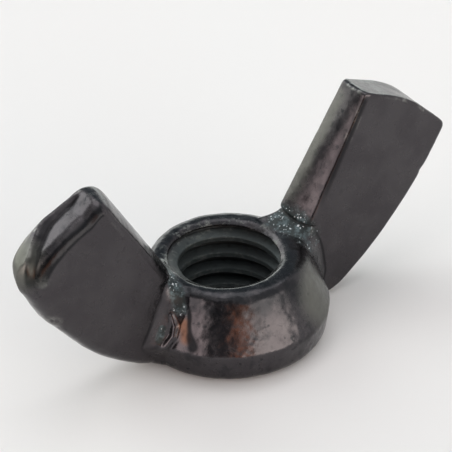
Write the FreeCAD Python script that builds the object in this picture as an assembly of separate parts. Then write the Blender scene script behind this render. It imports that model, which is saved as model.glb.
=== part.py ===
"""Wing nut, American form, M8 coarse thread, in millimetres.

The real nut is one drop forging, tapped after forging.  It is kept here as three
solids that meet face to face along the root lines of the wings: the hub, the wing on
the -X side and the wing on the +X side.  Together they make exactly the whole forging.

Part frame: thread axis on Z, seat face on Z = 0, hub rising to +Z, wings in the XZ plane.
"""
import FreeCAD
import Part

import math
import os

Vector = FreeCAD.Vector

# --- Thread, M8 x 1.25 -------------------------------------------------------------
MAJOR_RADIUS = 4.0
PITCH = 1.25
MINOR_RADIUS = MAJOR_RADIUS - 0.54127 * PITCH
ROOT_CLEARANCE = 0.03
ROOT_FLAT = PITCH / 8
FLANK_HALF_ANGLE = math.radians(30)
CORE_RADIUS = 4.35
MOUTH_RUNOUT = 0.12
BORE_WEDGES = 8
BORE_WEDGE_START = 10

# --- Hub, radii and heights of the turned outline ----------------------------------
BASE_RADIUS = 6.4
BASE_EDGE_ROUND = 0.45
BAND_HEIGHT = 2.15
BAND_TOP_RADIUS = 6.7
RIM_RADIUS = 5.0
RIM_ROUND = 0.5
HUB_HEIGHT = 5.75
TOP_COUNTERSINK_RADIUS = 4.12
SEAT_COUNTERSINK_RADIUS = 4.25
COUNTERSINK_DEPTH_PER_RADIUS = 0.7

# --- Wings, outline of the +X wing as (x, z) points --------------------------------
WING_THICKNESS = 2.6
INNER_TIP = (9.75, 14.6)
TIP_BREAK = (13.5, 13.3)
OUTER_CORNER = (16.75, 10.0)
LOWER_EDGE_MIDDLE = (12.6, 4.45)
LOWER_EDGE_END = (7.0, 0.3)
BAR_FOOT = (5.1, 7.4)
INNER_TIP_ROUND = 0.55
TIP_BREAK_ROUND = 3.0
OUTER_CORNER_ROUND = 0.9
OUTER_CORNER_LEAN = 0.35
WING_EDGE_ROUND = 0.3

# --- Inner edge of the wing: a round bar that stops in a lip above a hollow neck ---
BAR_BULGE_AT_TIP = 0.35
BAR_BULGE_AT_FOOT = 1.05
BAR_OVERRUN = 1.2
FOOT_DEPTH = 2.2
LIP_STEP = 0.3
NECK_MIDDLE = (4.95, 6.2)
NECK_END = (4.2, 5.5)
NECK_BACK_TOP = (8.0, 7.2)
NECK_BACK_FOOT = (8.2, 3.0)
NECK_ROUND = 1.1

# --- Hollow fillets where the flat sides of a wing run into the hub ----------------
ROOT_FILLET = 0.85
ROOT_SINK = 0.03
ROOT_INNER_X = 3.9


def xz(point, y=0.0):
    """Point in space from an (x, z) pair and a y."""
    return Vector(point[0], y, point[1])


def line(start, end):
    """Straight edge between two points."""
    return Part.LineSegment(start, end).toShape()


def arc(start, middle, end):
    """Circular edge through three points."""
    return Part.Arc(start, middle, end).toShape()


def rounded_corner(before, corner, after, radius):
    """Start, middle and end of the arc that rounds a corner to the given radius."""
    to_before = (before - corner).normalize()
    to_after = (after - corner).normalize()
    half_angle = to_before.getAngle(to_after) / 2
    reach = radius / math.tan(half_angle)
    centre_way = (to_before + to_after).normalize()
    middle = corner + centre_way * (radius / math.sin(half_angle) - radius)
    return corner + to_before * reach, middle, corner + to_after * reach


def hub_blank():
    """Hub before boring: base band with a rounded seat edge, cone and rounded rim."""
    inset = BASE_EDGE_ROUND * (1 - math.sqrt(0.5))
    axis_foot = Vector(0, 0, 0)
    seat_edge = Vector(BASE_RADIUS - BASE_EDGE_ROUND, 0, 0)
    seat_arc = Vector(BASE_RADIUS - inset, 0, inset)
    band_foot = Vector(BASE_RADIUS, 0, BASE_EDGE_ROUND)
    band_top = Vector(BAND_TOP_RADIUS, 0, BAND_HEIGHT)
    axis_top = Vector(0, 0, HUB_HEIGHT)
    rim_round = rounded_corner(band_top, Vector(RIM_RADIUS, 0, HUB_HEIGHT), axis_top, RIM_ROUND)
    outline = Part.Wire([
        line(axis_foot, seat_edge),
        arc(seat_edge, seat_arc, band_foot),
        line(band_foot, band_top),
        line(band_top, rim_round[0]),
        arc(*rim_round),
        line(rim_round[2], axis_top),
        line(axis_top, axis_foot),
    ])
    return Part.Face(outline).revolve(Vector(0, 0, 0), Vector(0, 0, 1), 360)


def bore():
    """Plain bore at the minor diameter with a countersink at each end."""
    seat_depth = (SEAT_COUNTERSINK_RADIUS - MINOR_RADIUS) * COUNTERSINK_DEPTH_PER_RADIUS
    top_depth = (TOP_COUNTERSINK_RADIUS - MINOR_RADIUS) * COUNTERSINK_DEPTH_PER_RADIUS
    outline = Part.makePolygon([
        Vector(0, 0, 0),
        Vector(SEAT_COUNTERSINK_RADIUS, 0, 0),
        Vector(MINOR_RADIUS, 0, seat_depth),
        Vector(MINOR_RADIUS, 0, HUB_HEIGHT - top_depth),
        Vector(TOP_COUNTERSINK_RADIUS, 0, HUB_HEIGHT),
        Vector(0, 0, HUB_HEIGHT),
        Vector(0, 0, 0),
    ])
    return Part.Face(outline).revolve(Vector(0, 0, 0), Vector(0, 0, 1), 360)


def thread_groove():
    """Right-hand helical groove of the internal thread, running past both ends of the hub."""
    run_out = PITCH
    length = HUB_HEIGHT + 2 * run_out
    helix = Part.makeHelix(PITCH, length, MAJOR_RADIUS)
    root_radius = MAJOR_RADIUS + ROOT_CLEARANCE
    mouth_radius = MINOR_RADIUS - MOUTH_RUNOUT
    root_half = ROOT_FLAT / 2
    mouth_half = root_half + (root_radius - mouth_radius) * math.tan(FLANK_HALF_ANGLE)
    section = Part.makePolygon([
        Vector(mouth_radius, 0, -mouth_half),
        Vector(root_radius, 0, -root_half),
        Vector(root_radius, 0, root_half),
        Vector(mouth_radius, 0, mouth_half),
        Vector(mouth_radius, 0, -mouth_half),
    ])
    groove = Part.Wire(helix).makePipeShell([section], True, True)
    groove.translate(Vector(0, 0, -run_out))
    return groove


def wedge(index):
    """One of the equal wedges about the thread axis, taller and wider than the hub."""
    sweep = 360 / BORE_WEDGES
    outline = Part.makePolygon([
        Vector(0, 0, -1),
        Vector(2 * BASE_RADIUS, 0, -1),
        Vector(2 * BASE_RADIUS, 0, HUB_HEIGHT + 1),
        Vector(0, 0, HUB_HEIGHT + 1),
        Vector(0, 0, -1),
    ])
    solid = Part.Face(outline).revolve(Vector(0, 0, 0), Vector(0, 0, 1), sweep)
    solid.rotate(Vector(0, 0, 0), Vector(0, 0, 1), BORE_WEDGE_START + index * sweep)
    return solid


def make_hub(blank):
    """Hub with its threaded bore.

    The threaded core is joined up from wedges, which leaves the thread crest as short
    faces instead of one strip that winds round the whole bore.
    """
    core = blank.common(Part.makeCylinder(CORE_RADIUS, HUB_HEIGHT))
    core = core.cut(bore()).cut(thread_groove())
    wedges = [core.common(wedge(index)) for index in range(BORE_WEDGES)]
    outside = blank.cut(Part.makeCylinder(CORE_RADIUS, HUB_HEIGHT))
    hub = outside.fuse(wedges)
    return hub.Solids[0]


def along_bar():
    """Unit vector down the inner edge of the wing, from its tip to the foot of the bar."""
    return (xz(BAR_FOOT) - xz(INNER_TIP)).normalize()


def into_wing():
    """Unit vector square to the inner edge, pointing into the wing."""
    down = along_bar()
    return Vector(-down.z, 0, down.x)


def outside_bar():
    """Space to cut away so that the inner edge of the blade bulges as a round bar.

    The bar is a slender cone whose outermost line runs along the inner edge, so that
    the bulge grows from the tip of the wing to the foot of the bar.
    """
    half = WING_THICKNESS / 2
    down = along_bar()
    inward = into_wing()
    length = (xz(BAR_FOOT) - xz(INNER_TIP)).Length
    tip_radius = (half ** 2 + BAR_BULGE_AT_TIP ** 2) / (2 * BAR_BULGE_AT_TIP)
    foot_radius = (half ** 2 + BAR_BULGE_AT_FOOT ** 2) / (2 * BAR_BULGE_AT_FOOT)
    lean = math.asin((tip_radius - foot_radius) / length)
    start_radius = tip_radius + BAR_OVERRUN * math.sin(lean)
    end_radius = foot_radius - BAR_OVERRUN * math.sin(lean)
    axis_start = xz(INNER_TIP) - down * BAR_OVERRUN + inward * start_radius
    axis_end = xz(BAR_FOOT) + down * BAR_OVERRUN + inward * end_radius
    axis = axis_end - axis_start
    bar = Part.makeCone(
        start_radius / math.cos(lean),
        end_radius / math.cos(lean),
        axis.Length,
        axis_start,
        axis,
    )
    outward = inward * -2 * WING_THICKNESS
    side = Vector(0, WING_THICKNESS, 0)
    around = Part.Face(Part.makePolygon([
        axis_start - side,
        axis_end - side,
        axis_end + outward - side,
        axis_start + outward - side,
        axis_start - side,
    ])).extrude(side * 2)
    return around.cut(bar)


def blade_outline(y):
    """Face of the wing outside its neck, at the given y."""
    inner_tip = xz(INNER_TIP, y)
    tip_break = xz(TIP_BREAK, y)
    outer_corner = xz(OUTER_CORNER, y)
    edge_middle = xz(LOWER_EDGE_MIDDLE, y)
    edge_end = xz(LOWER_EDGE_END, y)
    bar_foot = xz(BAR_FOOT, y)
    foot_back = bar_foot + into_wing() * FOOT_DEPTH
    corner_aim = edge_middle + (edge_middle - edge_end) * OUTER_CORNER_LEAN
    inner_round = rounded_corner(bar_foot, inner_tip, tip_break, INNER_TIP_ROUND)
    break_round = rounded_corner(inner_tip, tip_break, outer_corner, TIP_BREAK_ROUND)
    outer_round = rounded_corner(tip_break, outer_corner, corner_aim, OUTER_CORNER_ROUND)
    return Part.Face(Part.Wire([
        line(bar_foot, inner_round[0]),
        arc(*inner_round),
        line(inner_round[2], break_round[0]),
        arc(*break_round),
        line(break_round[2], outer_round[0]),
        arc(*outer_round),
        arc(outer_round[2], edge_middle, edge_end),
        line(edge_end, foot_back),
        line(foot_back, bar_foot),
    ]))


def neck_outline(y):
    """Face of the neck between the foot of the bar and the hub, at the given y."""
    lip = xz(BAR_FOOT, y) + into_wing() * LIP_STEP
    neck_end = xz(NECK_END, y)
    inner_foot = Vector(NECK_END[0], y, LOWER_EDGE_END[1])
    return Part.Face(Part.Wire([
        arc(neck_end, xz(NECK_MIDDLE, y), lip),
        line(lip, xz(NECK_BACK_TOP, y)),
        line(xz(NECK_BACK_TOP, y), xz(NECK_BACK_FOOT, y)),
        line(xz(NECK_BACK_FOOT, y), xz(LOWER_EDGE_END, y)),
        line(xz(LOWER_EDGE_END, y), inner_foot),
        line(inner_foot, neck_end),
    ]))


def is_outer_rim(edge):
    """True for the edges of the blade's flat sides along its tip and lower edge."""
    centre = edge.CenterOfMass
    on_side = abs(abs(centre.y) - WING_THICKNESS / 2) < 1e-6
    return on_side and centre.x > NECK_BACK_TOP[0]


def blade():
    """Wing outside its neck: an even plate with a bulging inner edge and rounded rim."""
    plate = blade_outline(-WING_THICKNESS / 2).extrude(Vector(0, WING_THICKNESS, 0))
    plate = plate.cut(outside_bar())
    rim = [edge for edge in plate.Edges if is_outer_rim(edge) and edge.Curve.TypeId in
           ("Part::GeomCircle", "Part::GeomLine")]
    return plate.makeFillet(WING_EDGE_ROUND, rim)


def neck():
    """Recessed neck of the wing, its two upper edges well rounded."""
    block = neck_outline(-WING_THICKNESS / 2).extrude(Vector(0, WING_THICKNESS, 0))
    arcs = [edge for edge in block.Edges if edge.Curve.TypeId == "Part::GeomCircle"]
    return block.makeFillet(NECK_ROUND, arcs)


def root_section(height, hub_radius):
    """Level section through the two hollow fillets beside a wing root.

    Both ends of each hollow arc are sunk a little below the surface they run into.
    """
    face_y = WING_THICKNESS / 2 - ROOT_SINK
    sunk_radius = hub_radius - ROOT_SINK
    reach = sunk_radius + ROOT_FILLET
    centre_y = face_y + ROOT_FILLET
    centre_x = math.sqrt(reach ** 2 - centre_y ** 2)
    centre = Vector(centre_x, centre_y, height)
    hub_end = Vector(centre_x * sunk_radius / reach, centre_y * sunk_radius / reach, height)
    face_end = Vector(centre_x, face_y, height)
    middle = centre + ((hub_end + face_end) / 2 - centre).normalize() * ROOT_FILLET
    inner_end = Vector(ROOT_INNER_X, hub_end.y, height)
    across = [Vector(p.x, -p.y, p.z) for p in (inner_end, hub_end, middle, face_end)]
    return Part.Wire([
        line(across[0], across[1]),
        arc(across[1], across[2], across[3]),
        line(across[3], face_end),
        arc(face_end, middle, hub_end),
        line(hub_end, inner_end),
        line(inner_end, across[0]),
    ])


def root_fillets():
    """Hollow fillets on both sides of the wing root, kept within the wing's outline."""
    stations = [
        (0, BASE_RADIUS),
        (BAND_HEIGHT, BAND_TOP_RADIUS),
        (HUB_HEIGHT, RIM_RADIUS),
    ]
    sections = [root_section(height, radius) for height, radius in stations]
    pieces = [Part.makeLoft(sections[i:i + 2], True, True) for i in range(len(sections) - 1)]
    flare = pieces[0].fuse(pieces[1])
    wide = Vector(0, 2 * BASE_RADIUS, 0)
    within = blade_outline(-BASE_RADIUS).extrude(wide).fuse(neck_outline(-BASE_RADIUS).extrude(wide))
    return flare.common(within)


def make_right_wing(blank):
    """Wing on the +X side, ending exactly on the outside of the hub."""
    whole = blade().fuse([neck(), root_fillets()]).removeSplitter()
    outside = whole.cut(blank)
    return max(outside.Solids, key=lambda solid: solid.Volume)


def main():
    blank = hub_blank()
    right_wing = make_right_wing(blank)
    left_wing = right_wing.copy()
    left_wing.rotate(Vector(0, 0, 0), Vector(0, 0, 1), 180)
    os.makedirs("parts", exist_ok=True)
    make_hub(blank).exportStep("parts/hub.step")
    left_wing.exportStep("parts/left_wing.step")
    right_wing.exportStep("parts/right_wing.step")


main()
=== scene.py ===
"""Looks of the American-form M8 wing nut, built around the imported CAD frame.

The forging's skin is worked out as one distance field, so that the wings, fillets, necks,
rim, countersinks and thread run into each other as they do on one drop forging. The skin
is then split along the root lines of the wings into the hub and the two wings.
Lengths are in millimetres until the meshes are made, and in metres from there on.
The left wing is the one on the -X side, and y is negative on the front of both wings.
"""

import math
from types import SimpleNamespace

import bpy
import numpy as np
import openvdb
from mathutils import Matrix, Vector


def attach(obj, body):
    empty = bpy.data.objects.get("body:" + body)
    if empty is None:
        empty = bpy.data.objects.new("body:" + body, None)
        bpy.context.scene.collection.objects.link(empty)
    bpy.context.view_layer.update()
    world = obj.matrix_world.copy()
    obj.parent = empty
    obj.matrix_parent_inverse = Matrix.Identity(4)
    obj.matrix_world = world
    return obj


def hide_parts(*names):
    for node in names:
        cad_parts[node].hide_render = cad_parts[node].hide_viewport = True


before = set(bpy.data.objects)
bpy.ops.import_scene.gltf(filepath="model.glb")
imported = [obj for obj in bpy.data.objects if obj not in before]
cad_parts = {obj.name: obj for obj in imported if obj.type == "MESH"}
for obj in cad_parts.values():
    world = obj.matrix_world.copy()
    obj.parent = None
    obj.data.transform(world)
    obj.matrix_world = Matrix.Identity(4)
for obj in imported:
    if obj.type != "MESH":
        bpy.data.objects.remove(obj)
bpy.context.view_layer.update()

MM = 0.001

# --- How finely the skin is worked out ------------------------------------------------
VOXEL = 0.06
BLOCK = 8  # voxels along the side of a block
BLOCKS_AT_ONCE = 1500
SKIN_LOW = (-17.4, -7.4, -0.4)
SKIN_HIGH = (17.4, 7.4, 15.1)
SLOPE_STEP = 0.01

# --- Thread ---------------------------------------------------------------------------
PITCH = 1.25
MAJOR_RADIUS = 4.0
MINOR_RADIUS = 3.323
ROOT_FLAT = PITCH / 8
TAN_FLANK = math.tan(math.radians(30))

# --- Hub ------------------------------------------------------------------------------
BASE_RADIUS = 6.26
BAND_TOP_RADIUS = 6.6
BAND_HEIGHT = 2.15
BAND_OFF_CENTRE = (-0.14, -0.14)
CENTRING_HEIGHT = 2.2  # how far above the band the cone comes back to the thread axis
RIM_RADIUS = 5.0
HUB_HEIGHT = 5.75
BASE_ROUND = 0.9
BAND_ROUND = 0.14
RIM_ROUND = 0.6
MOUTH_RADIUS = 3.98
MOUTH_OFF_CENTRE = (-0.24, 0.12)
SEAT_COUNTERSINK_RADIUS = 4.25
COUNTERSINK_DEPTH_PER_RADIUS = 0.7
BORE_EDGE_ROUND = 0.12
BORE_EASING = 0.6  # keeps the field of the steep thread flanks close to a distance

# --- Wings ----------------------------------------------------------------------------
# A place in a wing's plane is given as (distance from the thread axis, height).
# inner_tip, tip_break, outer_corner: corners of the end face, which has two facets.
# outer_edge: three points on the round outer edge.
# foot: lower end of the inner edge, where it stops at the lip.
# inner_corner_round, tip_round, outer_corner_round: rounding of the outline's corners.
# edge_round, outer_edge_round, near_tip_round: rounding along the inner edge, the outer
# edge and the front of the end face. lobe_round: more rounding about the outer corner.
# tip_step: step down along the end face. groove: dip beside the inner edge.
# fall_near, fall_far: how far the inner edge falls back at the front, at its tip and at
# its foot, and at the back. dents: (place, spread, depth) in the outer edge, where a
# negative depth is a bump.
HALF_THICKNESS = 1.3
RIGHT_WING = SimpleNamespace(
    inner_tip=(9.8, 14.8), tip_break=(13.85, 13.15), outer_corner=(16.92, 9.92),
    outer_edge=((16.62, 9.3), (12.7, 4.2), (7.62, 0.2)),
    foot=(4.5, 7.0), inner_corner_round=0.3, tip_round=0.8, outer_corner_round=0.4,
    edge_round=0.22, outer_edge_round=0.3, near_tip_round=0.22, lobe_round=0.0, tip_step=0.06,
    groove=0.06,
    fall_near=(0.5, 1.45), fall_far=0.55,
    dents=(((14.75, 7.1), 0.3, 0.12), ((15.25, 7.9), 0.35, -0.05)),
)
LEFT_WING = SimpleNamespace(
    inner_tip=(9.4, 14.55), tip_break=(13.6, 13.55), outer_corner=(17.05, 10.1),
    outer_edge=((16.35, 9.95), (13.4, 5.6), (6.95, 0.2)),
    foot=(4.75, 7.0), inner_corner_round=1.1, tip_round=2.0, outer_corner_round=1.5,
    edge_round=0.4, outer_edge_round=1.1, near_tip_round=1.0, lobe_round=1.2, tip_step=0.42,
    groove=0.04,
    fall_near=(1.0, 0.95), fall_far=0.2,
    dents=(((10.6, 2.6), 2.6, -0.22), ((14.1, 6.9), 0.55, -0.12), ((15.5, 8.8), 0.9, 0.12)),
)
BAR_BULGE = 0.24
LIP_BOW = 0.1
LIP_STEP = 0.36
LIP_ROUND = 0.18
NECK = ((3.9, 5.66), (4.42, 6.12), (4.74, 6.85))  # three points on its hollow round
NECK_FALL_NEAR = 1.35
NECK_FALL_FAR = 0.25
NECK_BLEND = 0.1
WING_BOTTOM = 0.25
BOTTOM_ROUND = 0.5
WING_START = 3.9  # distance from the thread axis, inside the hub
STEP_START = 1.1  # y of the step along the end face, before it turns to the front
STEP_TURN = 13.1  # distance from the thread axis at which it turns
STEP_SLOPE = 0.7
STEP_SOFTNESS = 0.5
STEP_HALF_WIDTH = 0.48
STEP_RUN_IN = (10.2, 11.6)  # distances from the thread axis
STEP_RUN_OUT = (16.4, 15.2)
EDGE_BLEND = 0.9  # where the rounding of one edge goes over into the next
LOBE_REACH = 2.2
GROOVE_PLACE = 0.12
GROOVE_HALF_WIDTH = 0.13

# --- Wing roots -----------------------------------------------------------------------
ROOT_FILLET_LOW = 0.8
ROOT_FILLET_HIGH = 1.5
LEFT_FRONT_FILLET = 1.7
ROOT_RISE = (1.2, 5.0)  # heights between which a root fillet grows from low to high
LEFT_FRONT_RISE = (1.0, 2.4)
HUB_BITE = 0.12  # how far the fillet's ends sink into the hub and into the wing
WING_BITE = 0.3 * HUB_BITE
FOOT_ROUND = 0.3  # where the fillets meet the seat
ROOT_MIDDLE = (5.0, 0.0, 3.2)
# Hollow and raised burr that trimming left at the front of the left root.
SCOOP_CENTRE = (-6.6, -2.2, 3.05)
SCOOP_RADII = (0.6, 0.42, 0.9)
SCOOP_ROUND = 0.25
BURR = (
    (-5.83, -1.75, 4.28), (-5.8, -2.07, 3.6), (-6.05, -2.18, 2.95),
    (-6.6, -1.97, 2.15), (-6.85, -1.55, 1.65),
)
BURR_RADIUS = 0.17
BURR_RUN_IN = (1.6, 2.6)  # heights
BURR_RUN_OUT = (4.4, 3.4)
BURR_BLEND = 0.3


# --- Distance field helpers -----------------------------------------------------------
def soft_max(a, b, width):
    """Larger of two fields, with the corner between them rounded off over a width."""
    near = np.maximum(width - np.abs(a - b), 0.0) / width
    return np.maximum(a, b) + near * near * width * 0.25


def soft_min(a, b, width):
    """Smaller of two fields, with the corner between them filled over a width."""
    return -soft_max(-a, -b, width)


def fillet_union(a, b, radius):
    """Union of two solids with a hollow round fillet of the given radius between them."""
    u = np.maximum(radius - a, 0.0)
    v = np.maximum(radius - b, 0.0)
    return np.maximum(radius, np.minimum(a, b)) - np.sqrt(u * u + v * v)


def side_of(p, q, u, z):
    """Distance of (u, z) to the left of the line that runs from p to q."""
    du, dz = q[0] - p[0], q[1] - p[1]
    return ((z - p[1]) * du - (u - p[0]) * dz) / math.hypot(du, dz)


def circle_through(p, q, r):
    """Centre and radius of the circle through three points."""
    d = 2 * (p[0] * (q[1] - r[1]) + q[0] * (r[1] - p[1]) + r[0] * (p[1] - q[1]))
    sp, sq, sr = (v[0] ** 2 + v[1] ** 2 for v in (p, q, r))
    cu = (sp * (q[1] - r[1]) + sq * (r[1] - p[1]) + sr * (p[1] - q[1])) / d
    cz = (sp * (r[0] - q[0]) + sq * (p[0] - r[0]) + sr * (q[0] - p[0])) / d
    return (cu, cz), math.hypot(p[0] - cu, p[1] - cz)


def bump_at(u, z, centre, spread):
    """Smooth hill of height 1 around a point."""
    return np.exp(-((u - centre[0]) ** 2 + (z - centre[1]) ** 2) / spread ** 2)


def smooth_step(low, high, value):
    """0 below low, 1 above high, with a smooth rise between."""
    t = np.clip((value - low) / (high - low), 0, 1)
    return t * t * (3 - 2 * t)


def lattice_noise(points, size, seed):
    """Smooth noise from -1 to 1 whose bumps are about one size across."""
    cells = 32
    lattice = np.random.default_rng(seed).uniform(-1, 1, (cells, cells, cells))
    scaled = points / size
    low = np.floor(scaled).astype(int)
    part = scaled - low
    part = part * part * (3 - 2 * part)
    total = np.zeros(len(points))
    for corner in range(8):
        step = np.array([corner >> 2 & 1, corner >> 1 & 1, corner & 1])
        weight = np.prod(np.where(step == 1, part, 1 - part), axis=1)
        index = (low + step) % cells
        total += weight * lattice[index[:, 0], index[:, 1], index[:, 2]]
    return total


# --- The forging ----------------------------------------------------------------------
def hub_field(x, y, z):
    """Outside of the hub: band, cone and rounded rim, with no bore."""
    r = np.sqrt(x * x + y * y)
    band_r = np.sqrt((x - BAND_OFF_CENTRE[0]) ** 2 + (y - BAND_OFF_CENTRE[1]) ** 2)
    band = -side_of((BASE_RADIUS, 0.0), (BAND_TOP_RADIUS, BAND_HEIGHT), band_r, z)
    off_axis = np.clip((BAND_HEIGHT + CENTRING_HEIGHT - z) / CENTRING_HEIGHT, 0, 1)
    cone_r = r + (band_r - r) * off_axis
    cone = -side_of((BAND_TOP_RADIUS, BAND_HEIGHT), (RIM_RADIUS, HUB_HEIGHT), cone_r, z)
    side = soft_max(band, cone, BAND_ROUND)
    side = soft_max(side, -z, BASE_ROUND)
    return soft_max(side, z - HUB_HEIGHT, RIM_ROUND)


def bore_field(x, y, z):
    """Inside of the threaded bore with its two countersinks, negative in the open."""
    r = np.sqrt(x * x + y * y)
    turn = z / PITCH - np.arctan2(y, x) / (2 * math.pi)
    from_root = np.abs(turn - np.round(turn)) * PITCH
    wall = MAJOR_RADIUS - np.maximum(from_root - ROOT_FLAT / 2, 0.0) / TAN_FLANK
    wall = np.maximum(wall, MINOR_RADIUS)
    z_in = np.clip(z, 0.0, HUB_HEIGHT)
    seat = SEAT_COUNTERSINK_RADIUS - z_in / COUNTERSINK_DEPTH_PER_RADIUS
    threaded = r - np.maximum(wall, seat)
    mouth_r = np.sqrt((x - MOUTH_OFF_CENTRE[0]) ** 2 + (y - MOUTH_OFF_CENTRE[1]) ** 2)
    mouth = mouth_r - MOUTH_RADIUS + (HUB_HEIGHT - z_in) / COUNTERSINK_DEPTH_PER_RADIUS
    return np.minimum(threaded, mouth) * BORE_EASING


def crowned(y, near_fall, far_fall):
    """How far an inner edge falls back across the wing's thickness, and its steepness."""
    across = y / HALF_THICKNESS
    fall = far_fall + (near_fall - far_fall) * (1 - across) / 2 - BAR_BULGE * (1 - across ** 2)
    slope = (2 * BAR_BULGE * across - (near_fall - far_fall) / 2) / HALF_THICKNESS
    return fall, np.sqrt(1 + slope ** 2)


def along_inner_edge(shape, u, z):
    """Place against a wing's inner edge: share of its length from the tip, depth into the wing
    and how far the edge falls back at the front."""
    tip, foot = shape.inner_tip, shape.foot
    length = math.dist(tip, foot)
    down = ((foot[0] - tip[0]) / length, (foot[1] - tip[1]) / length)
    share = ((u - tip[0]) * down[0] + (z - tip[1]) * down[1]) / length
    inward = -side_of(foot, tip, u, z)
    near_fall = shape.fall_near[0] + (shape.fall_near[1] - shape.fall_near[0]) * np.clip(share, 0, 1.1)
    return share, inward, near_fall


def inner_edge_field(shape, u, y, z):
    """Inner edge of a wing: the rounded bar, the lip at its foot and the neck below the lip."""
    share, inward, near_fall = along_inner_edge(shape, u, z)
    length = math.dist(shape.inner_tip, shape.foot)
    fall, steep = crowned(y, near_fall, shape.fall_far)
    past_lip = (share - 1) * length + LIP_BOW * (y / HALF_THICKNESS) ** 2
    bar = soft_max((fall - inward) / steep, past_lip, LIP_ROUND)

    centre, radius = circle_through(*NECK)
    hollow = radius - np.sqrt((u - centre[0]) ** 2 + (z - centre[1]) ** 2)
    neck_fall, neck_steep = crowned(y, NECK_FALL_NEAR, NECK_FALL_FAR)
    neck = np.maximum((hollow + neck_fall) / neck_steep, (fall + LIP_STEP - inward) / steep)
    return soft_min(bar, neck, NECK_BLEND)


def below_step(u, y):
    """1 in front of the step along the end face, 0 behind it."""
    past_turn = u - STEP_TURN
    step_y = STEP_START - 0.5 * STEP_SLOPE * (past_turn + np.sqrt(past_turn ** 2 + STEP_SOFTNESS))
    in_front = smooth_step(step_y + STEP_HALF_WIDTH, step_y - STEP_HALF_WIDTH, y)
    return in_front * smooth_step(*STEP_RUN_IN, u) * smooth_step(*STEP_RUN_OUT, u)


def end_face_field(shape, u, y, z):
    """End face of a wing: two facets with a rounded break and a step along them."""
    facets = soft_max(
        side_of(shape.inner_tip, shape.tip_break, u, z),
        side_of(shape.tip_break, shape.outer_corner, u, z),
        shape.tip_round,
    )
    return facets + shape.tip_step * below_step(u, y)


def outer_edge_field(shape, u, z):
    """Round outer edge of a wing with its dents and bumps."""
    centre, radius = circle_through(*shape.outer_edge)
    outer = np.sqrt((u - centre[0]) ** 2 + (z - centre[1]) ** 2) - radius
    for place, spread, depth in shape.dents:
        outer = outer + depth * bump_at(u, z, place, spread)
    return outer


def edge_widths(shape, u, y, z, inner, top, outer):
    """Width over which a wing's faces round off into its outline."""
    at_outer = smooth_step(-EDGE_BLEND, EDGE_BLEND, outer - np.maximum(inner, top))
    near_top = smooth_step(-EDGE_BLEND, EDGE_BLEND, top - np.maximum(inner, outer))
    near_top = near_top * smooth_step(0.6, -0.6, y)
    width = shape.edge_round + (shape.outer_edge_round - shape.edge_round) * at_outer
    width = width + (shape.near_tip_round - shape.edge_round) * near_top
    return width + shape.lobe_round * bump_at(u, z, shape.outer_corner, LOBE_REACH)


def wing_field(shape, u, y, z):
    """One wing, u being the distance from the thread axis along that wing."""
    inner = inner_edge_field(shape, u, y, z)
    top = end_face_field(shape, u, y, z)
    outer = outer_edge_field(shape, u, z)
    outline = soft_max(top, outer, shape.outer_corner_round)
    outline = soft_max(outline, inner, shape.inner_corner_round)
    outline = soft_max(outline, WING_BOTTOM - z, BOTTOM_ROUND)
    outline = np.maximum(outline, WING_START - u)

    share, inward, near_fall = along_inner_edge(shape, u, z)
    on_groove = smooth_step(0.95, 0.7, share) * (y < 0)
    from_groove = inward - near_fall - GROOVE_PLACE
    groove = shape.groove * np.exp(-(from_groove / GROOVE_HALF_WIDTH) ** 2) * on_groove
    width = edge_widths(shape, u, y, z, inner, top, outer)
    return soft_max(outline, np.abs(y) - HALF_THICKNESS + groove, width)


def strip_distance(x, y, z, path):
    """Distance to a line through some points."""
    nearest = np.full(np.shape(x), 1e3)
    for start, end in zip(path, path[1:]):
        step = [b - a for a, b in zip(start, end)]
        squared_length = sum(part * part for part in step)
        ahead = (x - start[0]) * step[0] + (y - start[1]) * step[1] + (z - start[2]) * step[2]
        share = np.clip(ahead / squared_length, 0, 1)
        gaps = [v - a - share * part for v, a, part in zip((x, y, z), start, step)]
        nearest = np.minimum(nearest, np.sqrt(gaps[0] ** 2 + gaps[1] ** 2 + gaps[2] ** 2))
    return nearest


def scoop_field(x, y, z):
    """Hollow that the trimming left at the root of the left wing, negative inside."""
    parts = [(v - c) / radius for v, c, radius in zip((x, y, z), SCOOP_CENTRE, SCOOP_RADII)]
    return (np.sqrt(parts[0] ** 2 + parts[1] ** 2 + parts[2] ** 2) - 1) * min(SCOOP_RADII)


def forging_field(x, y, z):
    """The whole nut."""
    hub = hub_field(x, y, z)
    right = wing_field(RIGHT_WING, x, y, z)
    left = wing_field(LEFT_WING, -x, y, z)
    body = np.minimum(np.minimum(hub, right), left)
    rising = smooth_step(*ROOT_RISE, z)
    root_fillet = ROOT_FILLET_LOW + (ROOT_FILLET_HIGH - ROOT_FILLET_LOW) * rising
    front = smooth_step(0.3, -0.3, y) * smooth_step(*LEFT_FRONT_RISE, z)
    left_fillet = root_fillet + (LEFT_FRONT_FILLET - root_fillet) * front
    for wing, radius in ((right, root_fillet), (left, left_fillet)):
        web = fillet_union(hub + HUB_BITE, wing + WING_BITE, radius)
        body = np.minimum(body, web)
    body = soft_max(body, -scoop_field(x, y, z), SCOOP_ROUND)
    burr_radius = BURR_RADIUS * smooth_step(*BURR_RUN_IN, z) * smooth_step(*BURR_RUN_OUT, z)
    burr = strip_distance(x, y, z, BURR) - burr_radius
    body = soft_min(body, burr, BURR_BLEND)
    body = soft_max(body, -z, FOOT_ROUND)
    return soft_max(body, -bore_field(x, y, z), BORE_EDGE_ROUND)


def slope_of(field, points):
    """Gradient of a field at many points."""
    x, y, z = points.T
    step = SLOPE_STEP
    slope = np.empty_like(points)
    slope[:, 0] = field(x + step, y, z) - field(x - step, y, z)
    slope[:, 1] = field(x, y + step, z) - field(x, y - step, z)
    slope[:, 2] = field(x, y, z + step) - field(x, y, z - step)
    return slope / (2 * step)


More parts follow.
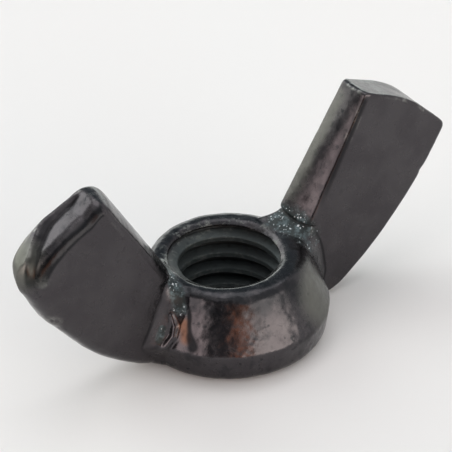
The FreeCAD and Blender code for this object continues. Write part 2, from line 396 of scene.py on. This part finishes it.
def pull_to_surface(field, points, rounds):
    """Move points along the field's slope onto its zero surface."""
    for _ in range(rounds):
        slope = slope_of(field, points)
        steepness = np.maximum((slope ** 2).sum(1), 0.05)
        step = field(*points.T) / steepness
        step = np.clip(step, -0.4 * VOXEL, 0.4 * VOXEL)
        points = points - slope * step[:, None]
    return points


def sampled(field, low, high):
    """The field on a voxel grid, worked out only in the blocks that the surface may cross."""
    counts = [int(math.ceil((high[i] - low[i]) / (VOXEL * BLOCK))) for i in range(3)]
    span = VOXEL * BLOCK
    middles = [low[i] + (np.arange(counts[i]) + 0.5) * span for i in range(3)]
    rough = field(*np.meshgrid(*middles, indexing="ij"))
    cap = 3 * VOXEL
    values = np.clip(rough, -cap, cap)
    for axis in range(3):
        values = np.repeat(values, BLOCK, axis)
    values = values.astype(np.float32)
    blocks = np.argwhere(np.abs(rough) < 1.25 * span + cap)
    inside = np.indices((BLOCK, BLOCK, BLOCK)).reshape(3, -1).T[None]
    for start in range(0, len(blocks), BLOCKS_AT_ONCE):
        index = blocks[start:start + BLOCKS_AT_ONCE, None] * BLOCK + inside
        index = index.reshape(-1, 3)
        x, y, z = (index * VOXEL + np.array(low)).T
        values[index[:, 0], index[:, 1], index[:, 2]] = np.clip(field(x, y, z), -cap, cap)
    return values


def skin_of(field, low, high):
    """Closed quad mesh over the zero surface of a field inside a box."""
    grid = openvdb.FloatGrid(3 * VOXEL)
    grid.copyFromArray(sampled(field, low, high))
    points, _, quads = grid.convertToPolygons(isovalue=0.0, adaptivity=0.0)
    points = np.asarray(points, float) * VOXEL + np.array(low)
    points = pull_to_surface(field, points, 3)
    quads = np.asarray(quads, np.int64)
    a, b, c, d = (points[quads[:, i]] for i in range(4))
    volume = (a * np.cross(c - a, d - b)).sum()
    return points, quads if volume > 0 else quads[:, ::-1]


# --- Finish of the skin, with painted shade and a painted reflection ------------------
# Where pickling residue has dried on, as a path and its half width.
GRIME_STRIPS = (
    (((4.7, 0.6, 6.4), (4.95, -0.5, 6.1), (5.3, -1.3, 5.5)), 0.95),
    (((-4.85, 0.3, 6.3), (-5.05, -0.8, 6.0), (-5.2, -1.6, 5.45), (-5.3, -2.0, 4.7)), 0.5),
    (((-6.5, -1.6, 3.4), (-6.75, -1.6, 2.6)), 0.24),
)
# Painted warm reflection on the front of the left wing's root fillet.
WARM_REFLECTION_PATH = ((-5.36, -2.45, 3.85), (-5.6, -2.9, 3.0))
# Painted shade along the fold where the web of the left wing runs out on the cone.
FOLD_SHADE_PATH = ((-4.9, -2.35, 4.8), (-5.2, -2.8, 3.8), (-5.38, -3.1, 3.25), (-5.47, -3.55, 2.65))
# Where a thin pale film lies on the metal, as centre and radius.
FILM_SPOTS = (
    ((3.7, -4.7, 3.6), 2.9),
    ((-15.5, 0.6, 11.0), 2.2),
)
FILM_STRIP = ((9.3, 0.9, 14.0), (7.2, 0.8, 10.6), (5.2, 0.7, 7.7))
# Where the left wing has been knocked.
SCUFF_SPOTS = (
    ((-14.2, -0.7, 6.95), 0.9),
    ((-14.9, -1.1, 10.3), 0.6),
)
# Layers of small bumps: height, how wide the bumps are, and the seed.
BUMPS = ((0.026, 1.1, 11), (0.01, 0.42, 12))
HUB_BUMPS = (0.009, 0.28, 13)
FLAT_SMOOTHNESS = 0.8  # share of the bumps that the flat wing faces lack
# How ragged the edges of the residue and films are: depth, width and seed.
RAGGED = (0.3, 0.6, 21)


def vertex_normals(points, quads):
    """Smooth normals of a quad mesh."""
    a, b, c, d = (points[quads[:, i]] for i in range(4))
    face = np.cross(c - a, d - b)
    normals = np.zeros_like(points)
    for corner in range(4):
        np.add.at(normals, quads[:, corner], face)
    return normals / np.maximum(np.linalg.norm(normals, axis=1), 1e-12)[:, None]


def around(values, quads, rounds):
    """Average of each vertex's neighbours, repeated."""
    pairs = np.concatenate([quads[:, (i, (i + 1) % 4)] for i in range(4)])
    count = np.bincount(pairs.ravel(), minlength=len(values))
    values = values.reshape(len(values), -1)
    for _ in range(rounds):
        total = np.empty_like(values)
        for column in range(values.shape[1]):
            part = values[:, column]
            total[:, column] = np.bincount(pairs[:, 0], part[pairs[:, 1]], len(values))
            total[:, column] += np.bincount(pairs[:, 1], part[pairs[:, 0]], len(values))
        values = total / np.maximum(count, 1)[:, None]
    return values


def bend_of(points, normals, quads):
    """How sharply the skin bends per millimetre: positive on edges, negative in creases."""
    near = around(points, quads, 2)
    bend = ((points - near) * normals).sum(1) / VOXEL ** 2
    return around(bend, quads, 3)[:, 0]


def piece_from(name, points, normals, quads, marks):
    """Mesh object from some of the skin's quads, closed at the wing roots, with the whole
    skin's normals."""
    used, local = np.unique(quads, return_inverse=True)
    local = local.reshape(-1, 4)
    ends = np.concatenate([local[:, (i, (i + 1) % 4)] for i in range(4)])
    keys = ends[:, 0] * len(used) + ends[:, 1]
    back = ends[:, 1] * len(used) + ends[:, 0]
    rim = ends[~np.isin(keys, back)]
    places = points[used]
    directions = normals[used]
    faces = local.tolist()
    for side in np.unique(np.sign(places[rim[:, 0], 0])):
        own = rim[np.sign(places[rim[:, 0], 0]) == side]
        middle = len(places)
        places = np.vstack([places, (side * ROOT_MIDDLE[0], ROOT_MIDDLE[1], ROOT_MIDDLE[2])])
        directions = np.vstack([directions, (side, 0, 0)])
        faces += [(b, a, middle) for a, b in own.tolist()]
    mesh = bpy.data.meshes.new(name)
    mesh.from_pydata((places * MM).tolist(), [], faces)
    mesh.polygons.foreach_set("use_smooth", np.ones(len(faces), bool))
    mesh.normals_split_custom_set_from_vertices(directions.tolist())
    for mark, values in marks.items():
        layer = mesh.attributes.new(mark, "FLOAT", "POINT")
        layer.data.foreach_set("value", np.concatenate([values[used], np.zeros(len(places) - len(used))]))
    piece = bpy.data.objects.new(name, mesh)
    bpy.context.scene.collection.objects.link(piece)
    return piece


def layer_of(points, height, size, seed):
    """One layer of noise with its height."""
    return height * lattice_noise(points, size, seed)


def roughened(points, normals):
    """The skin with the small bumps and dents of a forged and trimmed surface."""
    bumps = sum(layer_of(points, *layer) for layer in BUMPS)
    hub = smooth_step(0.6, 0.1, hub_field(*points.T))
    bumps += hub * layer_of(points, *HUB_BUMPS)
    flat = smooth_step(0.12, 0.03, np.abs(np.abs(points[:, 1]) - HALF_THICKNESS)) * (1 - hub)
    bumps *= 1 - FLAT_SMOOTHNESS * flat
    return points + normals * bumps[:, None]


def groove_shade(x, y, z):
    """Painted shade: dark line where the right wing's inner edge meets its front face."""
    share, inward, near_fall = along_inner_edge(RIGHT_WING, x, z)
    line = np.exp(-((inward - near_fall - 0.07) / 0.22) ** 4) * (y < -0.8) * (x > 0)
    return line * smooth_step(0.95, 0.6, share) * smooth_step(0.01, 0.05, share)


def spots_of(points, spots):
    """Soft round spots, each given by its centre and radius."""
    total = np.zeros(len(points))
    for centre, radius in spots:
        away = np.linalg.norm(points - np.array(centre), axis=1) / radius
        total = np.maximum(total, smooth_step(1.0, 0.4, away))
    return total


def wear_marks(points, normals, bend):
    """Where the skin is worn bright, and where shade is painted: on the front slopes of the left wing's end
    and in hollows, creases and folds.
    """
    x, y, z = points.T
    ragged = layer_of(points, *RAGGED)
    facing = -normals[:, 1]
    left_end = smooth_step(9.6, 10.4, z) * (x < 0) * smooth_step(0.15, 0.0, normals[:, 0])
    # Painted shade on the front-facing slopes of the left wing's end, dimming their reflections.
    left_end_shade = 0.75 * left_end * smooth_step(0.45, 0.7, facing) * smooth_step(0.998, 0.97, facing)
    # Painted shade along the rounded front edge of the left wing's end, dimming its reflection.
    end_edge_shade = 0.9 * left_end * smooth_step(0.5, 0.75, facing) * smooth_step(0.999, 0.96, facing)

    away_from_burr = 1 - 0.85 * smooth_step(1.6, 0.8, strip_distance(x, y, z, BURR))
    # Painted shade in the hollows of the skin, kept off the burr.
    hollow_shade = smooth_step(0.1, 0.5, -bend) * away_from_burr
    # Painted shade along the fold on the cone, narrower higher up.
    fold_shade_width = 0.42 - 0.22 * smooth_step(2.7, 4.0, z)
    fold_shade = smooth_step(1.2, 0.4, strip_distance(x, y, z, FOLD_SHADE_PATH) / fold_shade_width + ragged)
    at_tips = smooth_step(10.0, 11.0, z) * smooth_step(-0.1, 0.35, lattice_noise(points, 1.3, 31))
    return {
        "edge": smooth_step(0.3, 0.9, bend) * at_tips,
        # Painted shade on the front slopes of the left wing's end.
        "left_end_shade": left_end_shade,
        "scuff": spots_of(points, SCUFF_SPOTS),
        # Painted shade in hollows, creases, the fold on the cone and along the front edge of the left wing's
        # end.
        "crease_shade": np.maximum.reduce([hollow_shade, groove_shade(x, y, z), 1.4 * fold_shade, end_edge_shade]),
    }


def residue_marks(points):
    """Where pickling residue, dust and pale films lie on the metal, and where a warm reflection is painted.
    """
    x, y, z = points.T
    ragged = layer_of(points, *RAGGED)
    grime = np.zeros(len(points))
    for path, half_width in GRIME_STRIPS:
        away = strip_distance(x, y, z, path) / half_width
        grime = np.maximum(grime, smooth_step(1.3, 0.7, away + ragged))
    mouth_r = np.sqrt((x - MOUTH_OFF_CENTRE[0]) ** 2 + (y - MOUTH_OFF_CENTRE[1]) ** 2)
    mouth = smooth_step(0.7, 0.2, np.abs(mouth_r - MOUTH_RADIUS + 0.3)) * smooth_step(4.7, 5.3, z)
    bar_film = smooth_step(1.3, 0.5, strip_distance(x, y, z, FILM_STRIP) / 0.7 + ragged)
    return {
        # Painted warm reflection on the left root fillet.
        "warm_reflection": smooth_step(1.5, 0.2, strip_distance(x, y, z, WARM_REFLECTION_PATH) / 0.4 + ragged),
        "grime": grime,
        "mouth": mouth * smooth_step(-3.2, 0.0, y - 0.1 * x),
        "film": np.maximum(spots_of(points, FILM_SPOTS), 0.5 * bar_film),
    }


def region_marks(points, bend):
    """Which part of the nut the skin belongs to: its bore, upper hub (which gets painted shade) or flat wing
    faces.
    """
    x, y, z = points.T
    outside_hub = hub_field(x, y, z)
    bore = smooth_step(4.6, 4.2, np.sqrt(x * x + y * y)) * smooth_step(5.6, 5.0, z)
    # Painted shade on the upper hub, less towards its right side.
    upper_hub_shade = smooth_step(3.6, 5.0, z) * smooth_step(0.4, 0.1, outside_hub)
    upper_hub_shade *= 1 - 0.6 * smooth_step(0.5, 4.0, x)
    from_face = np.abs(np.abs(y) - HALF_THICKNESS)
    return {
        "crest": smooth_step(0.2, 0.8, bend) * bore * smooth_step(-1.5, 1.0, y - 0.5 * x),
        "upper_hub_shade": upper_hub_shade * (1 - bore),
        "flat": smooth_step(0.3, 0.1, from_face) * smooth_step(0.3, 0.8, outside_hub),
        "bore": bore,
    }


def build_forging():
    """The hub and the two wings as pieces of one continuous skin."""
    points, quads = skin_of(forging_field, SKIN_LOW, SKIN_HIGH)
    normals = vertex_normals(points, quads)
    points = roughened(points, normals)
    normals = vertex_normals(points, quads)
    bend = bend_of(points, normals, quads)
    marks = wear_marks(points, normals, bend) | residue_marks(points) | region_marks(points, bend)
    middle = points[quads].mean(1)
    off_hub = hub_field(*middle.T) > 0.1
    parts = {
        "hub": ("forged_hub", ~off_hub),
        "left_wing": ("forged_left_wing", off_hub & (middle[:, 0] < 0)),
        "right_wing": ("forged_right_wing", off_hub & (middle[:, 0] > 0)),
    }
    return {
        node: piece_from(name, points, normals, quads[chosen], marks)
        for node, (name, chosen) in parts.items()
    }


# --- Material -------------------------------------------------------------------------
class Nodes:
    """Small helper that adds shader nodes and links them by their sockets."""

    def __init__(self, tree):
        self.tree = tree

    def put(self, socket, value):
        if isinstance(value, bpy.types.NodeSocket):
            self.tree.links.new(value, socket)
        else:
            socket.default_value = value

    def add(self, kind, settings=None, **inputs):
        node = self.tree.nodes.new(kind)
        for key, value in (settings or {}).items():
            setattr(node, key, value)
        for key, value in inputs.items():
            self.put(node.inputs[key.replace("_", " ")], value)
        return node

    def math(self, operation, *values):
        node = self.add("ShaderNodeMath", {"operation": operation})
        for socket, value in zip(node.inputs, values):
            self.put(socket, value)
        return node.outputs[0]

    def mix(self, factor, low, high):
        """Colour between low and high."""
        node = self.add("ShaderNodeMix", {"data_type": "RGBA"})
        self.put(node.inputs[0], factor)
        self.put(node.inputs[6], low)
        self.put(node.inputs[7], high)
        return node.outputs[2]

    def ramp(self, value, low, high, to_low=0.0, to_high=1.0):
        """Smooth rise from to_low to to_high as the value goes from low to high."""
        node = self.add("ShaderNodeMapRange", {"interpolation_type": "SMOOTHSTEP"})
        for socket, number in zip(node.inputs, (value, low, high, to_low, to_high)):
            self.put(socket, number)
        return node.outputs[0]

    def noise(self, place, size, detail=4.0, roughness=0.55):
        """Noise with bumps about one size across, in millimetres."""
        scale = 1 / (size * MM)
        node = self.add("ShaderNodeTexNoise", Vector=place, Scale=scale, Detail=detail, Roughness=roughness)
        return node.outputs[0]

    def mark(self, name):
        """A mask that the skin carries."""
        return self.add("ShaderNodeAttribute", {"attribute_name": name}).outputs["Fac"]


OXIDE = (0.0645, 0.0596, 0.064, 1)
OXIDE_THIN = (0.077, 0.072, 0.076, 1)
# Dark thick oxide, also the colour of the painted shade on the upper hub and the left wing's end.
THICK_OXIDE_AND_SHADE = (0.028, 0.029, 0.032, 1)
FILM = (0.15, 0.152, 0.135, 1)
# Colour of the painted warm reflection.
WARM_REFLECTION = (0.105, 0.056, 0.036, 1)
BARE_STEEL = (0.36, 0.36, 0.34, 1)
SCALE_DUST = (0.14, 0.15, 0.14, 1)
GRIME_DARK = (0.01, 0.017, 0.018, 1)
GRIME_PALE = (0.07, 0.1, 0.11, 1)
SPECK = (0.6, 0.66, 0.7, 1)
BORE_OXIDE = (0.042, 0.052, 0.054, 1)
# Near black of the painted shade in hollows, creases and folds.
PAINTED_CREASE_SHADE = (0.006, 0.007, 0.008, 1)
GRAIN_DEPTH = 0.04


def oxide_colour(n, place, cloud, mottle):
    """Colour of the black-brown oxide, thin on some bumps and thick in spots and blotches, with painted
    shade on the upper hub and on the front slopes of the left wing's end.
    """
    off_flat = n.ramp(n.mark("flat"), 0.0, 1.0, 1.0, 0.25)
    colour = n.mix(n.ramp(cloud, 0.35, 0.65), OXIDE, OXIDE_THIN)
    colour = n.mix(n.math("MULTIPLY", n.ramp(mottle, 0.58, 0.7), off_flat), colour, THICK_OXIDE_AND_SHADE)
    blotch = n.ramp(n.noise(place, 1.2, 6.0, 0.7), 0.5, 0.64, 0.0, 0.6)
    blotch = n.math("MULTIPLY", blotch, n.math("SUBTRACT", 1.0, n.mark("flat")))
    colour = n.mix(blotch, colour, THICK_OXIDE_AND_SHADE)
    # Painted shade on the front slopes of the left wing's end.
    colour = n.mix(n.mark("left_end_shade"), colour, THICK_OXIDE_AND_SHADE)
    # Painted shade on the upper hub, in patches.
    patchy_top_shade = n.ramp(n.noise(place, 0.8, 5.0, 0.6), 0.35, 0.6, 0.35, 0.9)
    colour = n.mix(n.math("MULTIPLY", n.mark("upper_hub_shade"), patchy_top_shade), colour, THICK_OXIDE_AND_SHADE)
    colour = n.mix(n.math("MULTIPLY", n.mark("film"), 0.75), colour, FILM)
    return n.mix(n.mark("bore"), colour, BORE_OXIDE)


def worn_and_dusty(n, place, mottle, colour):
    """The colour with bare steel on worn places, dust round the thread and a painted warm reflection.
    Returns the dust's mask too."""
    worn = n.math("MULTIPLY", n.mark("edge"), n.ramp(mottle, 0.42, 0.62))
    scuffed = n.math("MULTIPLY", n.mark("scuff"), n.ramp(mottle, 0.35, 0.6))
    worn = n.math("MULTIPLY", n.math("MAXIMUM", worn, scuffed), 0.4)
    colour = n.mix(worn, colour, BARE_STEEL)
    dusty = n.math("MULTIPLY", n.mark("mouth"), n.ramp(n.noise(place, 0.6, 6.0, 0.75), 0.49, 0.65))
    colour = n.mix(dusty, colour, SCALE_DUST)
    crests = n.math("MULTIPLY", n.mark("crest"), n.ramp(n.noise(place, 0.5, 5.0, 0.7), 0.45, 0.65, 0.0, 0.5))
    colour = n.mix(crests, colour, SCALE_DUST)
    # Painted warm reflection on the left root fillet.
    return n.mix(n.math("MULTIPLY", n.mark("warm_reflection"), 0.8), colour, WARM_REFLECTION), dusty


def with_residue(n, place, cloud, colour):
    """The colour with dried residue and its pale specks. Returns both masks too."""
    patchy = n.ramp(n.noise(place, 0.55, 6.0, 0.7), 0.47, 0.63)
    grime = n.math("MULTIPLY", n.mark("grime"), n.ramp(cloud, 0.25, 0.5))
    colour = n.mix(grime, colour, n.mix(patchy, GRIME_DARK, GRIME_PALE))
    dot = n.ramp(n.noise(place, 0.17, 2.0, 0.6), 0.6, 0.68)
    scattered = n.ramp(n.noise(place, 0.7, 2.0), 0.46, 0.56)
    dot = n.math("MULTIPLY", n.math("MULTIPLY", dot, scattered), n.mark("grime"))
    return n.mix(dot, colour, SPECK), grime, dot


def blackened_metal():
    """Black-brown oxide on forged metal, thin on bumps, worn on edges, with dried residue, painted shade in
    creases and on the upper hub, and a painted warm reflection.
    """
    material = bpy.data.materials.new("blackened_metal")
    material.use_nodes = True
    n = Nodes(material.node_tree)
    shader = material.node_tree.nodes["Principled BSDF"]
    place = n.add("ShaderNodeTexCoord").outputs["Object"]

    cloud = n.noise(place, 2.2, 5.0)
    mottle = n.noise(place, 0.55, 5.0, 0.65)
    grain = n.noise(place, 0.09, 3.0, 0.6)
    colour = oxide_colour(n, place, cloud, mottle)
    colour, dusty = worn_and_dusty(n, place, mottle, colour)
    colour, grime, dot = with_residue(n, place, cloud, colour)
    # Painted shade: darkens the hollows, the line beside the right wing's inner edge, the fold on the cone
    # and the front edge of the left wing's end.
    colour = n.mix(n.math("MULTIPLY", n.mark("crease_shade"), 0.65), colour, PAINTED_CREASE_SHADE)
    n.put(shader.inputs["Base Color"], colour)

    dull = n.math("MAXIMUM", n.math("MULTIPLY", grime, 0.7), n.math("MAXIMUM", dusty, dot))
    dull = n.math("MAXIMUM", dull, n.math("MULTIPLY", n.mark("bore"), 0.5))
    n.put(shader.inputs["Metallic"], n.math("SUBTRACT", 1.0, dull))
    rough = n.ramp(mottle, 0.3, 0.7, 0.17, 0.3)
    rough = n.math("ADD", rough, n.math("MULTIPLY", dull, 0.3))
    rough = n.math("ADD", rough, n.math("MULTIPLY", n.math("MAXIMUM", n.mark("bore"), n.mark("film")), 0.15))
    n.put(shader.inputs["Roughness"], rough)

    height = n.math("ADD", n.math("MULTIPLY", mottle, 0.7), n.math("MULTIPLY", grain, 0.3))
    bump = n.add("ShaderNodeBump", Strength=0.35, Distance=GRAIN_DEPTH * MM, Height=height)
    n.put(shader.inputs["Normal"], bump.outputs["Normal"])
    return material


# --- Stage, in metres -----------------------------------------------------------------
AZIMUTH = math.radians(-35.86)
ELEVATION = math.radians(35.58)
ROLL = math.radians(-0.77)
DISTANCE = 0.195
LENS = 235.8
SENSOR_WIDTH = 36
AIM_UP = 0.00651
AIM_RIGHT = -0.00026
FLOOR_HALF_WIDTH = 1.5


def direction(azimuth, elevation):
    """Unit vector towards a place round the nut, in degrees from the camera's own azimuth."""
    turn = AZIMUTH + math.radians(azimuth)
    rise = math.radians(elevation)
    return Vector((math.sin(turn) * math.cos(rise), -math.cos(turn) * math.cos(rise), math.sin(rise)))


def camera_axes():
    """Backward, rightward and upward unit vectors of the camera."""
    back = direction(0, math.degrees(ELEVATION))
    right = Vector((math.cos(AZIMUTH), math.sin(AZIMUTH), 0))
    up = back.cross(right)
    return back, right, up


def add_camera():
    """Camera at the nut's three-quarter view, standing well back."""
    back, right, up = camera_axes()
    rolled_right = right * math.cos(ROLL) + up * math.sin(ROLL)
    rolled_up = up * math.cos(ROLL) - right * math.sin(ROLL)
    place = back * DISTANCE
    aim = rolled_up * AIM_UP + rolled_right * AIM_RIGHT
    look_back = (place - aim).normalized()
    look_right = rolled_up.cross(look_back).normalized()
    look_up = look_back.cross(look_right)
    data = bpy.data.cameras.new("camera")
    data.lens = LENS
    data.sensor_width = SENSOR_WIDTH
    data.clip_start = 0.01
    data.clip_end = 10
    camera = bpy.data.objects.new("camera", data)
    turn = Matrix((look_right, look_up, look_back)).transposed().to_4x4()
    camera.matrix_world = Matrix.Translation(place) @ turn
    bpy.context.scene.collection.objects.link(camera)
    bpy.context.scene.camera = camera


def add_softbox(name, azimuth, elevation, distance, size, power):
    """Square white soft light aimed at the nut."""
    data = bpy.data.lights.new(name, "AREA")
    data.size = size
    data.energy = power
    light = bpy.data.objects.new(name, data)
    place = direction(azimuth, elevation)
    light.location = place * distance
    light.rotation_euler = place.to_track_quat("Z", "Y").to_euler()
    bpy.context.scene.collection.objects.link(light)


def add_floor():
    """Plain pale floor."""
    half = FLOOR_HALF_WIDTH
    corners = [(-half, -half, 0), (half, -half, 0), (half, half, 0), (-half, half, 0)]
    mesh = bpy.data.meshes.new("floor")
    mesh.from_pydata(corners, [], [(0, 1, 2, 3)])
    floor = bpy.data.objects.new("floor", mesh)
    material = bpy.data.materials.new("floor")
    material.use_nodes = True
    shader = material.node_tree.nodes["Principled BSDF"]
    shader.inputs["Base Color"].default_value = (0.8, 0.8, 0.8, 1)
    shader.inputs["Roughness"].default_value = 0.8
    mesh.materials.append(material)
    bpy.context.scene.collection.objects.link(floor)


# Soft patches of the surroundings: azimuth from the camera and elevation of the middle,
# half width and half height in degrees, brightness, and how soft the edge is.
SURROUNDINGS = (
    ((180, 38), (38, 18), (0.3, 0.36, 0.4), 0.2),  # upper wall behind the nut
    ((-175, 4), (48, 11), (2.22, 2.36, 2.25), 0.2),  # bright skirting behind it
    ((-137, 4), (13, 12), (3.0, 3.0, 2.9), 0.3),  # lamp behind it on the left
    ((-108, 36), (26, 17), (2.9, 3.0, 2.95), 0.3),  # window on the left
    ((-107, 12), (20, 15), (2.1, 2.15, 2.0), 0.25),  # wall on the left
    ((-66, 44), (26, 14), (0.35, 0.35, 0.35), 0.25),  # dark ceiling on the left
    ((-76, 18), (12, 24), (0.35, 0.35, 0.35), 0.3),  # dark doorway on the left
    ((-47, 17), (16, 21), (2.7, 2.35, 2.25), 0.2),  # lamp on the left
    ((46, 7), (22, 15), (3.9, 3.6, 3.3), 0.45),  # window on the right
    ((-13, 22), (16, 30), (0.16, 0.16, 0.17), 0.15),  # camera and its shadow side
    ((14, 10), (8, 14), (1.6, 0.6, 0.3), 0.2),  # warm hand that holds the camera
)
AMBIENT = (0.79, 0.79, 0.795, 1)


def patch_mask(n, ray, middle, half, softness):
    """1 for rays inside a soft oval patch of the surroundings, 0 outside it."""
    centre = direction(*middle)
    side = Vector((0, 0, 1)).cross(centre).normalized()
    rise = centre.cross(side)
    parts = []
    for axis in (centre, side, rise):
        dot = n.add("ShaderNodeVectorMath", {"operation": "DOT_PRODUCT"})
        n.put(dot.inputs[0], ray)
        n.put(dot.inputs[1], axis)
        parts.append(dot.outputs["Value"])
    ahead = n.math("MAXIMUM", parts[0], 0.001)
    powers = []
    for part, angle in zip(parts[1:], half):
        ratio = n.math("DIVIDE", n.math("DIVIDE", part, ahead), math.tan(math.radians(angle)))
        powers.append(n.math("POWER", n.math("ABSOLUTE", ratio), 4.0))
    total = n.math("ADD", *powers)
    return n.ramp(total, (1 + softness) ** 4, (1 - softness) ** 4)


def add_world():
    """Pale surroundings with the windows, walls and dark shapes that the metal mirrors."""
    world = bpy.data.worlds.new("studio")
    world.use_nodes = True
    n = Nodes(world.node_tree)
    ray = n.add("ShaderNodeTexCoord").outputs["Generated"]
    colour = AMBIENT
    for middle, half, tint, softness in SURROUNDINGS:
        colour = n.mix(patch_mask(n, ray, middle, half, softness), colour, (*tint, 1))
    n.put(world.node_tree.nodes["Background"].inputs["Color"], colour)
    bpy.context.scene.world = world


pieces = build_forging()
metal = blackened_metal()
for node, piece in pieces.items():
    piece.data.materials.append(metal)
    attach(piece, "root")
    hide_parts(node)

add_camera()
add_floor()
add_world()
add_softbox("back_softbox", azimuth=170, elevation=74, distance=0.35, size=0.25, power=0.25)
bpy.context.scene.view_settings.view_transform = "Standard"
